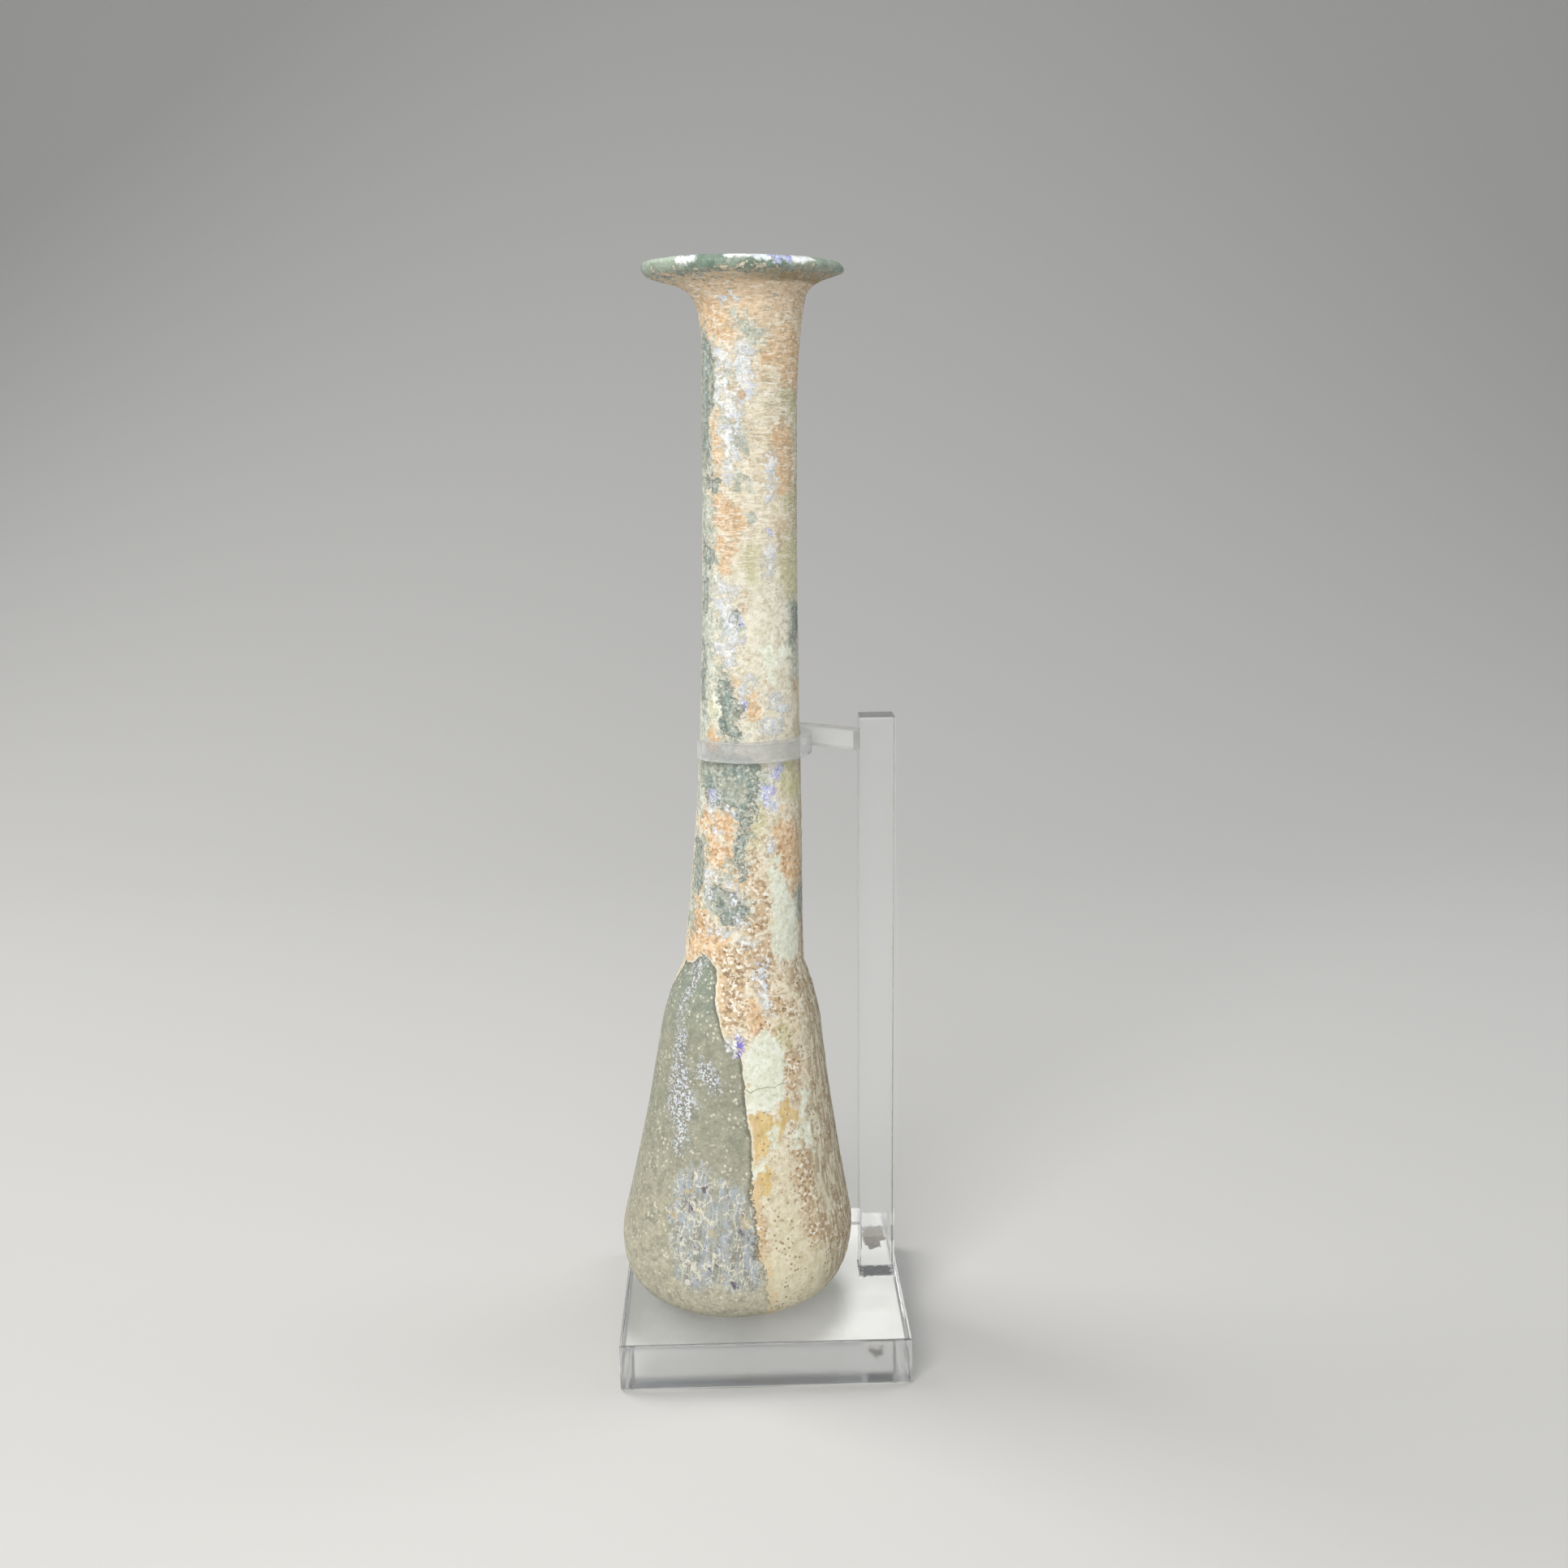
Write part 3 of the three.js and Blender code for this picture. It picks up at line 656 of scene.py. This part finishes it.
dust = laid_over(crackle * 0.95, dust, lilac)
dust = laid_over(in_flake_and_glint * 0.6 * (1 - on_neck), dust, (0.27, 0.26, 0.25, 1))
# Painted shadow on the bare glass just beside the crust's edge, on the body above its lowest part.
painted_edge_shadow = between(bare_depth, 0.75, 0.15) * (1 - 0.8 * on_neck) * between(up, 15, 24)
dust = laid_over(painted_edge_shadow * 0.75, dust, (0.19, 0.17, 0.12, 1))
weathered = laid_over(bare, crust, dust)

# Thin flakes of skin over all of it: white to lilac frost, and blue to violet flashes.
# The white along the top of the lip is painted highlight, and the bright flakes down the body's left carry a
# painted highlight.
frost_and_highlight_colour = laid_over(between(mid, 0.46, 0.58), (0.95, 0.96, 0.94, 1), (0.70, 0.75, 0.82, 1))
frost_and_highlight_colour = laid_over(mid_up * between(fine, 0.42, 0.58, 0.0, 0.7), frost_and_highlight_colour, (0.55, 0.58, 0.58, 1))
weathered = laid_over(frost * 0.92, weathered, frost_and_highlight_colour)
flake_shade = cells(0.3, None, 1)
flash_colour = burial.node(
    "ShaderNodeValToRGB",
    {"stops": [(0.0, (0.30, 0.28, 0.76, 1)), (0.35, (0.46, 0.47, 0.86, 1)), (0.7, (0.70, 0.75, 0.92, 1)),
               (1.0, (0.88, 0.90, 0.94, 1))]},
    {0: flake_shade * 0.6 + streaks * 0.4},
)
flash_colour = laid_over((1 - on_neck) * 0.75, flash_colour, (0.14, 0.10, 0.74, 1))
weathered = laid_over(flash * 0.9, weathered, flash_colour)
flake_and_glint_colour = burial.node(
    "ShaderNodeValToRGB",
    {"stops": [(0.0, (0.50, 0.58, 0.84, 1)), (0.12, (0.66, 0.80, 0.90, 1)), (0.35, (0.95, 0.95, 0.95, 1)),
               (0.7, (0.92, 0.86, 0.92, 1)), (1.0, (0.70, 0.90, 0.86, 1))]},
    {0: flake_shade},
)
weathered = laid_over(sparkle * 0.95, weathered, flake_and_glint_colour)

ridge = wrinkles * (0.5 + 0.8 * high_up) * (1 - bare) * (1 - 0.7 * mint)
thickness = (1 - bare) * 0.4 + ridge * 0.5 + fine * 0.4 + grit * 0.3
thickness = (thickness + mint * 0.12 + frost * 0.15 - brown * fine * 0.2) * (1 - 0.65 * on_lip)
bumps = burial.node("ShaderNodeBump", {}, {"Strength": 0.9, "Distance": 0.0005, "Height": thickness})
dull = 0.8 - 0.45 * flash - 0.2 * frost - 0.4 * sparkle
crust_shader = burial.node(
    "ShaderNodeBsdfPrincipled",
    {},
    {
        "Base Color": weathered,
        "Roughness": dull - (0.14 + 0.22 * on_neck) * bare * (1 - specks),
        "Metallic": flash * 0.3 + sparkle * 0.3,
        "IOR": 1.5,
        "Normal": bumps,
    },
)
glass_shader = burial.node(
    "ShaderNodeBsdfPrincipled",
    {},
    {
        "Base Color": (0.50, 0.64, 0.56, 1),
        "Roughness": between(fine, 0.3, 0.7, 0.12, 0.42),
        "IOR": 1.5,
        "Transmission Weight": 0.85,
        "Normal": bumps,
    },
)
dust_cover = between(mid, 0.25, 0.75, 0.62, 0.95) - 0.04 * on_neck
cover = 1 - bare * (1 - dust_cover) * (1 - frost) * (1 - flash) * (1 - sparkle) * (1 - 0.6 * crackle)
both = burial.node("ShaderNodeMixShader", {}, {0: cover, 1: glass_shader, 2: crust_shader})
burial.node("ShaderNodeOutputMaterial", {}, {"Surface": both}, None)
vessel.data.materials.append(burial.material)
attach(vessel, "root")
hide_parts("unguentarium")

# Base plate
# A square of clear acrylic sheet, sawn and polished, with faint saw chatter left on its edges.
plate_side, plate_thickness, plate_bevel = 48, 8, 0.35


def bevelled(shape, width, segments):
    """Takes the sharp edges off a sawn and polished piece."""
    bmesh.ops.recalc_face_normals(shape, faces=shape.faces)
    sharp = [edge for edge in shape.edges if edge.calc_face_angle(0) > radians(30)]
    bmesh.ops.bevel(
        shape,
        geom=sharp,
        offset=width,
        segments=segments,
        profile=0.5,
        affect="EDGES",
        material=-1,
        clamp_overlap=True,
    )
    bmesh.ops.scale(shape, vec=(mm, mm, mm), verts=shape.verts)


def finished_piece(shape, name, material, node):
    mesh = bpy.data.meshes.new(name)
    shape.to_mesh(mesh)
    shape.free()
    mesh.materials.append(material)
    piece = bpy.data.objects.new(name, mesh)
    bpy.context.scene.collection.objects.link(piece)
    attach(piece, "root")
    if node:
        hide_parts(node)
    return piece


def clear_acrylic(name, scratches, clearness):
    """Polished acrylic, see-through but for a trace of milkiness, with hair scratches in its gloss."""
    acrylic = Finish(name)
    acrylic_place = acrylic.node("ShaderNodeTexCoord", {}, {}, "Object")
    stroke_place = acrylic.node("ShaderNodeMapping", {}, {"Vector": acrylic_place, "Scale": scratches})
    hairs = acrylic.node(
        "ShaderNodeTexNoise",
        {},
        {"Vector": stroke_place, "Scale": 1000 / 1.2, "Detail": 6.0, "Roughness": 0.7},
    )
    haze = acrylic.node("ShaderNodeTexNoise", {}, {"Vector": acrylic_place, "Scale": 1000 / 9, "Detail": 3.0})
    wear = hairs * 0.6 + haze * 0.4
    gloss = acrylic.node("ShaderNodeMapRange", {}, {0: wear, 1: 0.4, 2: 0.7, 3: 0.015, 4: 0.09})
    relief = acrylic.node("ShaderNodeBump", {}, {"Strength": 0.12, "Distance": 0.00005, "Height": hairs})
    shader = acrylic.node(
        "ShaderNodeBsdfPrincipled",
        {},
        {
            "Base Color": (0.955, 0.965, 0.965, 1),
            "Roughness": gloss,
            "IOR": 1.46,
            "Transmission Weight": clearness,
            "Normal": relief,
        },
    )
    acrylic.node("ShaderNodeOutputMaterial", {}, {"Surface": shader}, None)
    return acrylic.material


plate_shape = bmesh.new()
bmesh.ops.create_cube(plate_shape, size=1)
bmesh.ops.scale(plate_shape, vec=(plate_side, plate_side, plate_thickness), verts=plate_shape.verts)
bmesh.ops.translate(plate_shape, vec=(0, 0, plate_thickness / 2), verts=plate_shape.verts)
bevelled(plate_shape, plate_bevel, 3)
plate_acrylic = clear_acrylic("plate_acrylic", (0.15, 1.0, 2.5), 0.93)
finished_piece(plate_shape, "plate_sheet", plate_acrylic, "base_plate")

# Post
# A square bar of the same clear acrylic, standing on the plate near its right edge, its corners just eased.
post_side, post_edge_inset, post_bevel = 6, 1, 0.3
clip_height, clip_thickness, post_above_clip = 94.2, 3.1, 2.5
post_face = plate_side / 2 - post_edge_inset - post_side
post_height = clip_height + clip_thickness + post_above_clip

glue_gap = 0.16
post_shape = bmesh.new()
bmesh.ops.create_cube(post_shape, size=1)
bmesh.ops.scale(post_shape, vec=(post_side, post_side, post_height - glue_gap), verts=post_shape.verts)
post_middle = (post_face + post_side / 2, 0, plate_thickness + (post_height + glue_gap) / 2)
bmesh.ops.translate(post_shape, vec=post_middle, verts=post_shape.verts)
bevelled(post_shape, post_bevel, 3)
post_acrylic = clear_acrylic("post_acrylic", (2.5, 2.5, 0.12), 0.92)
finished_piece(post_shape, "post_bar", post_acrylic, "upright_post")

# Glue under the post
# A film of cement between post and plate, dark inside and silvery with bubbles at its edges, and a dried
# smear of it on the plate behind the post.
glue_side, glue_bite, smear_size, smear_place = 6.3, 0.05, (3.3, 6.6, 0.14), (20.4, 13.8)
glue_place_x = post_face + post_side / 2


def cement(name, inside_colour, edge_colour, edge_from):
    """Dried cement, of one colour inside and bubbly with another from this far out from the post's middle."""
    mix = Finish(name)
    at = mix.node("ShaderNodeTexCoord", {}, {}, "Object")
    bubbles = mix.node("ShaderNodeTexVoronoi", {}, {"Vector": at, "Scale": 1000 / 0.7}, "Distance")
    murk = mix.node("ShaderNodeTexNoise", {}, {"Vector": at, "Scale": 1000 / 0.9, "Detail": 5.0})
    side_place = mix.node("ShaderNodeSeparateXYZ", {}, {"Vector": at}, 0) * 1000
    front_place = mix.node("ShaderNodeSeparateXYZ", {}, {"Vector": at}, 1) * 1000
    from_side = mix.node("ShaderNodeMath", {"operation": "ABSOLUTE"}, {0: side_place - glue_place_x})
    from_front = mix.node("ShaderNodeMath", {"operation": "ABSOLUTE"}, {0: front_place})
    from_middle = mix.node("ShaderNodeMath", {"operation": "MAXIMUM"}, {0: from_side, 1: from_front})
    ragged = from_middle + (murk - 0.5) * 3 + bubbles * 0.8
    bubbly = mix.node("ShaderNodeMapRange", {}, {0: ragged, 1: edge_from, 2: edge_from + 0.4})
    colours = {0: bubbly, 6: inside_colour, 7: edge_colour}
    colour = mix.node("ShaderNodeMix", {"data_type": "RGBA"}, colours, 2)
    relief = mix.node("ShaderNodeBump", {}, {"Strength": 0.8, "Distance": 0.0002, "Height": bubbles})
    shader = mix.node(
        "ShaderNodeBsdfPrincipled",
        {},
        {"Base Color": colour, "Metallic": 0.4 * bubbly, "Roughness": 0.35, "Normal": relief},
    )
    mix.node("ShaderNodeOutputMaterial", {}, {"Surface": shader}, None)
    return mix.material


glue_shape = bmesh.new()
bmesh.ops.create_cube(glue_shape, size=1)
bmesh.ops.scale(glue_shape, vec=(glue_side, glue_side, glue_gap + 2 * glue_bite), verts=glue_shape.verts)
glue_middle = (glue_place_x, 0, plate_thickness + glue_gap / 2)
bmesh.ops.translate(glue_shape, vec=glue_middle, verts=glue_shape.verts)
bevelled(glue_shape, glue_gap * 0.2, 2)
film_cement = cement("bubbly_cement", (0.10, 0.115, 0.14, 1), (0.86, 0.87, 0.87, 1), 2.8)
finished_piece(glue_shape, "post_glue", film_cement, None)

smear_shape = bmesh.new()
bmesh.ops.create_icosphere(smear_shape, subdivisions=4, radius=0.5)
for corner in smear_shape.verts:
    corner.co *= 1 + 0.8 * noise.fractal(corner.co * 3.2 + Vector((3.1, 8.4, 5.2)), 0.8, 2.1, 3)
bmesh.ops.scale(smear_shape, vec=smear_size, verts=smear_shape.verts)
bmesh.ops.translate(smear_shape, vec=(*smear_place, plate_thickness + 0.04), verts=smear_shape.verts)
bmesh.ops.scale(smear_shape, vec=(mm, mm, mm), verts=smear_shape.verts)
smear_cement = cement("dried_cement", (0.26, 0.22, 0.18, 1), (0.50, 0.46, 0.41, 1), 14.2)
finished_piece(smear_shape, "glue_smear", smear_cement, None)

# Neck clip
# Cut from one sheet of clear acrylic: an open C round the neck, and a straight arm glued to the post's
# left face.
clip_band, clip_clearance, clip_bevel = 1.8, 0.3, 0.22
arm_width, arm_bite, arm_tail, arm_gap = 3.4, 0.4, 3, 0.04
clip_front_end, clip_back_end = radians(-146), radians(92)
near_steps, far_steps, inner_steps = 60, 8, 72

neck_inner = float(np.interp(clip_height, [p[1] for p in outside], [p[0] for p in outside])) + clip_clearance
neck_outer = neck_inner + clip_band
neck_x = vessel_x + float(lean_at(clip_height + clip_thickness / 2))
arm_start = Vector((post_face - arm_gap - neck_x, -vessel_y))
arm_reach = neck_outer + arm_width / 2 - arm_bite
arm_swing = asin(arm_reach / arm_start.length) - atan2(arm_start.y, arm_start.x)
arm_along = Vector((-cos(arm_swing), sin(arm_swing)))
arm_side = Vector((sin(arm_swing), cos(arm_swing))) * arm_width / 2
arm_length = sqrt(arm_start.length_squared - arm_reach**2) + arm_tail
arm_end = arm_start + arm_along * arm_length
half_seat = arm_width / 2 / cos(arm_swing)


def on_ring(reach, turn):
    return Vector((reach * cos(turn), reach * sin(turn)))


def meets_ring(corner, sense):
    """Where the arm's side goes into the C's outside, with sense -1, or comes out of it again, with 1."""
    toward = corner.dot(arm_along)
    half_chord = sqrt(toward**2 - corner.length_squared + neck_outer**2)
    return corner + arm_along * (sense * half_chord - toward)


arm_low = arm_start - Vector((0, half_seat))
arm_high = arm_start + Vector((0, half_seat))
goes_in, comes_out = meets_ring(arm_low, -1), meets_ring(arm_low, 1)
low_turn = atan2(goes_in.y, goes_in.x)
high_turn = atan2(comes_out.y, comes_out.x)


def round_ring(reach, turn_from, turn_to, steps):
    return [on_ring(reach, turn_from + (turn_to - turn_from) * i / steps) for i in range(steps + 1)]


outline = round_ring(neck_outer, clip_front_end, low_turn, near_steps)
outline += [arm_low, arm_high, arm_end + arm_side, arm_end - arm_side]
outline += round_ring(neck_outer, high_turn, clip_back_end, far_steps)
outline += round_ring(neck_inner, clip_back_end, clip_front_end, inner_steps)

clip_shape = bmesh.new()
corners = [clip_shape.verts.new((p.x, p.y, 0)) for p in outline]
sheet = clip_shape.faces.new(corners)
raised = bmesh.ops.extrude_face_region(clip_shape, geom=[sheet])
top = [item for item in raised["geom"] if isinstance(item, bmesh.types.BMVert)]
bmesh.ops.translate(clip_shape, vec=(0, 0, clip_thickness), verts=top)
bmesh.ops.translate(clip_shape, vec=(neck_x, vessel_y, plate_thickness + clip_height), verts=clip_shape.verts)
bevelled(clip_shape, clip_bevel, 2)
clip_acrylic = clear_acrylic("clip_acrylic", (1.0, 1.0, 0.4), 0.8)
finished_piece(clip_shape, "clip_sheet", clip_acrylic, "neck_clip")

# Floor and light
# A plain pale floor that runs up into a backdrop, and soft boxes over, beside and in front of the flask.
under_plate, floor_half, floor_front, floor_back = -0.0003, 3.0, -1.6, 0.9
backdrop_height, backdrop_curve = 2.2, 0.6
sweep = bmesh.new()
back = [sweep.verts.new((x, floor_back, under_plate)) for x in (-floor_half, floor_half)]
front = [sweep.verts.new((x, floor_front, under_plate)) for x in (-floor_half, floor_half)]
sweep.faces.new([front[0], front[1], back[1], back[0]])
back_edge = sweep.edges.get(back)
risen = bmesh.ops.extrude_edge_only(sweep, edges=[back_edge])
backdrop_top = [item for item in risen["geom"] if isinstance(item, bmesh.types.BMVert)]
bmesh.ops.translate(sweep, vec=(0, 0, backdrop_height), verts=backdrop_top)
bmesh.ops.bevel(
    sweep,
    geom=[back_edge],
    offset=backdrop_curve,
    segments=16,
    profile=0.5,
    affect="EDGES",
    material=-1,
)
paper = Finish("floor_paper")
paper_colour = (0.62, 0.615, 0.60, 1)
paper_shader = paper.node("ShaderNodeBsdfPrincipled", {}, {"Base Color": paper_colour, "Roughness": 0.85})
paper.node("ShaderNodeOutputMaterial", {}, {"Surface": paper_shader}, None)


def on_stage(shape, name, finish):
    mesh = bpy.data.meshes.new(name)
    shape.to_mesh(mesh)
    shape.free()
    mesh.shade_smooth()
    mesh.materials.append(finish.material)
    thing = bpy.data.objects.new(name, mesh)
    bpy.context.scene.collection.objects.link(thing)
    return thing


on_stage(sweep, "floor", paper)

# The paper under the plate glows, though it is no lamp: painted light, to show as bright as the rest, with a
# painted soft shadow of the flask on it
glow_side, painted_shadow_reach = plate_side - 1.2, 20
glow = bmesh.new()
bmesh.ops.create_grid(glow, x_segments=1, y_segments=1, size=glow_side / 2 * mm)
bmesh.ops.translate(glow, vec=(0, 0, under_plate / 2), verts=glow.verts)
painted_glow = Finish("painted_glow_paper")
glow_place = painted_glow.node("ShaderNodeTexCoord", {}, {}, "Object")
from_foot = painted_glow.node(
    "ShaderNodeVectorMath",
    {"operation": "DISTANCE"},
    {0: glow_place, 1: ((vessel_x - 1.5) * mm, (vessel_y - 2) * mm, under_plate / 2)},
    "Value",
)
painted_glow_and_shadow = painted_glow.node(
    "ShaderNodeMapRange",
    {"interpolation_type": "SMOOTHSTEP"},
    {0: from_foot, 1: (painted_shadow_reach - 2) * mm, 2: (painted_shadow_reach + 4) * mm, 3: 0.20, 4: 0.70},
)
glow_clouds = painted_glow.node(
    "ShaderNodeTexNoise", {}, {"Vector": glow_place, "Scale": 1000 / 22, "Detail": 3.0, "Roughness": 0.6}
)
painted_glow_and_shadow = painted_glow_and_shadow * (0.45 + glow_clouds)
glow_colours = {0: painted_glow_and_shadow, 6: (0, 0, 0, 1), 7: (1.0, 0.99, 0.95, 1)}
glow_colour = painted_glow.node("ShaderNodeMix", {"data_type": "RGBA"}, glow_colours, 2)
glow_shader = painted_glow.node(
    "ShaderNodeBsdfPrincipled",
    {},
    {
        "Base Color": (0.6, 0.595, 0.58, 1),
        "Roughness": 0.9,
        "Emission Color": glow_colour,
        "Emission Strength": 1.0,
    },
)
painted_glow.node("ShaderNodeOutputMaterial", {}, {"Surface": glow_shader}, None)
on_stage(glow, "glowing_paper_under_plate", painted_glow)

# A low dark card stands behind the plate, for a painted reflection. It shows only through the acrylic, as a
# dark streaked band along the foot of the front.
card_width, card_height, card_behind, card_middle_up, card_shift = 42.5, 2.4, 5, 4.2, -2.75
card_middle = Vector((card_shift, plate_side / 2 + card_behind, card_middle_up)) * mm
card = bmesh.new()
bmesh.ops.create_grid(card, x_segments=1, y_segments=1, size=0.5)
bmesh.ops.scale(card, vec=(card_width * mm, card_height * mm, 1), verts=card.verts)
bmesh.ops.rotate(card, cent=(0, 0, 0), matrix=Matrix.Rotation(radians(90), 3, "X"), verts=card.verts)
bmesh.ops.translate(card, vec=card_middle, verts=card.verts)
dark = Finish("dark_reflection_card")
dark_place = dark.node("ShaderNodeTexCoord", {}, {}, "Object")
dark_lines = dark.node("ShaderNodeMapping", {}, {"Vector": dark_place, "Scale": (0.1, 1, 3.0)})
lines = dark.node(
    "ShaderNodeTexNoise", {}, {"Vector": dark_lines, "Scale": 1000 / 1.5, "Detail": 5.0, "Roughness": 0.7}
)
lines = dark.node("ShaderNodeMapRange", {}, {0: lines, 1: 0.4, 2: 0.65})
dark_colour = dark.node(
    "ShaderNodeMix", {"data_type": "RGBA"}, {0: lines, 6: (0.02, 0.03, 0.05, 1), 7: (0.30, 0.34, 0.40, 1)}, 2
)
dark_shader = dark.node("ShaderNodeBsdfPrincipled", {}, {"Base Color": dark_colour, "Roughness": 0.8})
dark.node("ShaderNodeOutputMaterial", {}, {"Surface": dark_shader}, None)
dark_reflection_card = on_stage(card, "dark_reflection_card", dark)
for kind in ("camera", "diffuse", "glossy", "shadow"):
    setattr(dark_reflection_card, "visible_" + kind, False)

surroundings = bpy.data.worlds.new("studio")
surroundings.use_nodes = True
surroundings.node_tree.nodes["Background"].inputs["Color"].default_value = (0.86, 0.88, 0.92, 1)
surroundings.node_tree.nodes["Background"].inputs["Strength"].default_value = 0.36
bpy.context.scene.world = surroundings


def soft_box(name, place, size, power, colour):
    light = bpy.data.lights.new(name, "AREA")
    light.shape = "RECTANGLE"
    light.size, light.size_y = size
    light.energy = power
    light.color = colour
    box = bpy.data.objects.new(name, light)
    box.location = place
    aim = Vector((0, 0, 0.09)) - Vector(place)
    box.rotation_euler = aim.to_track_quat("-Z", "Y").to_euler()
    bpy.context.scene.collection.objects.link(box)


soft_box("over_left", (-0.42, 0.18, 0.55), (0.35, 0.5), 2.4, (1.0, 0.99, 0.96))
soft_box("over_right", (0.45, 0.12, 0.5), (0.35, 0.5), 1.0, (0.98, 0.99, 1.0))
soft_box("front", (-0.22, -0.9, 0.36), (0.9, 0.6), 2.95, (1.0, 0.985, 0.96))
soft_box("upper_front", (-0.10, -0.30, 0.30), (0.20, 0.15), 0.8, (1.0, 0.985, 0.95))

bpy.context.scene.view_settings.view_transform = "Standard"
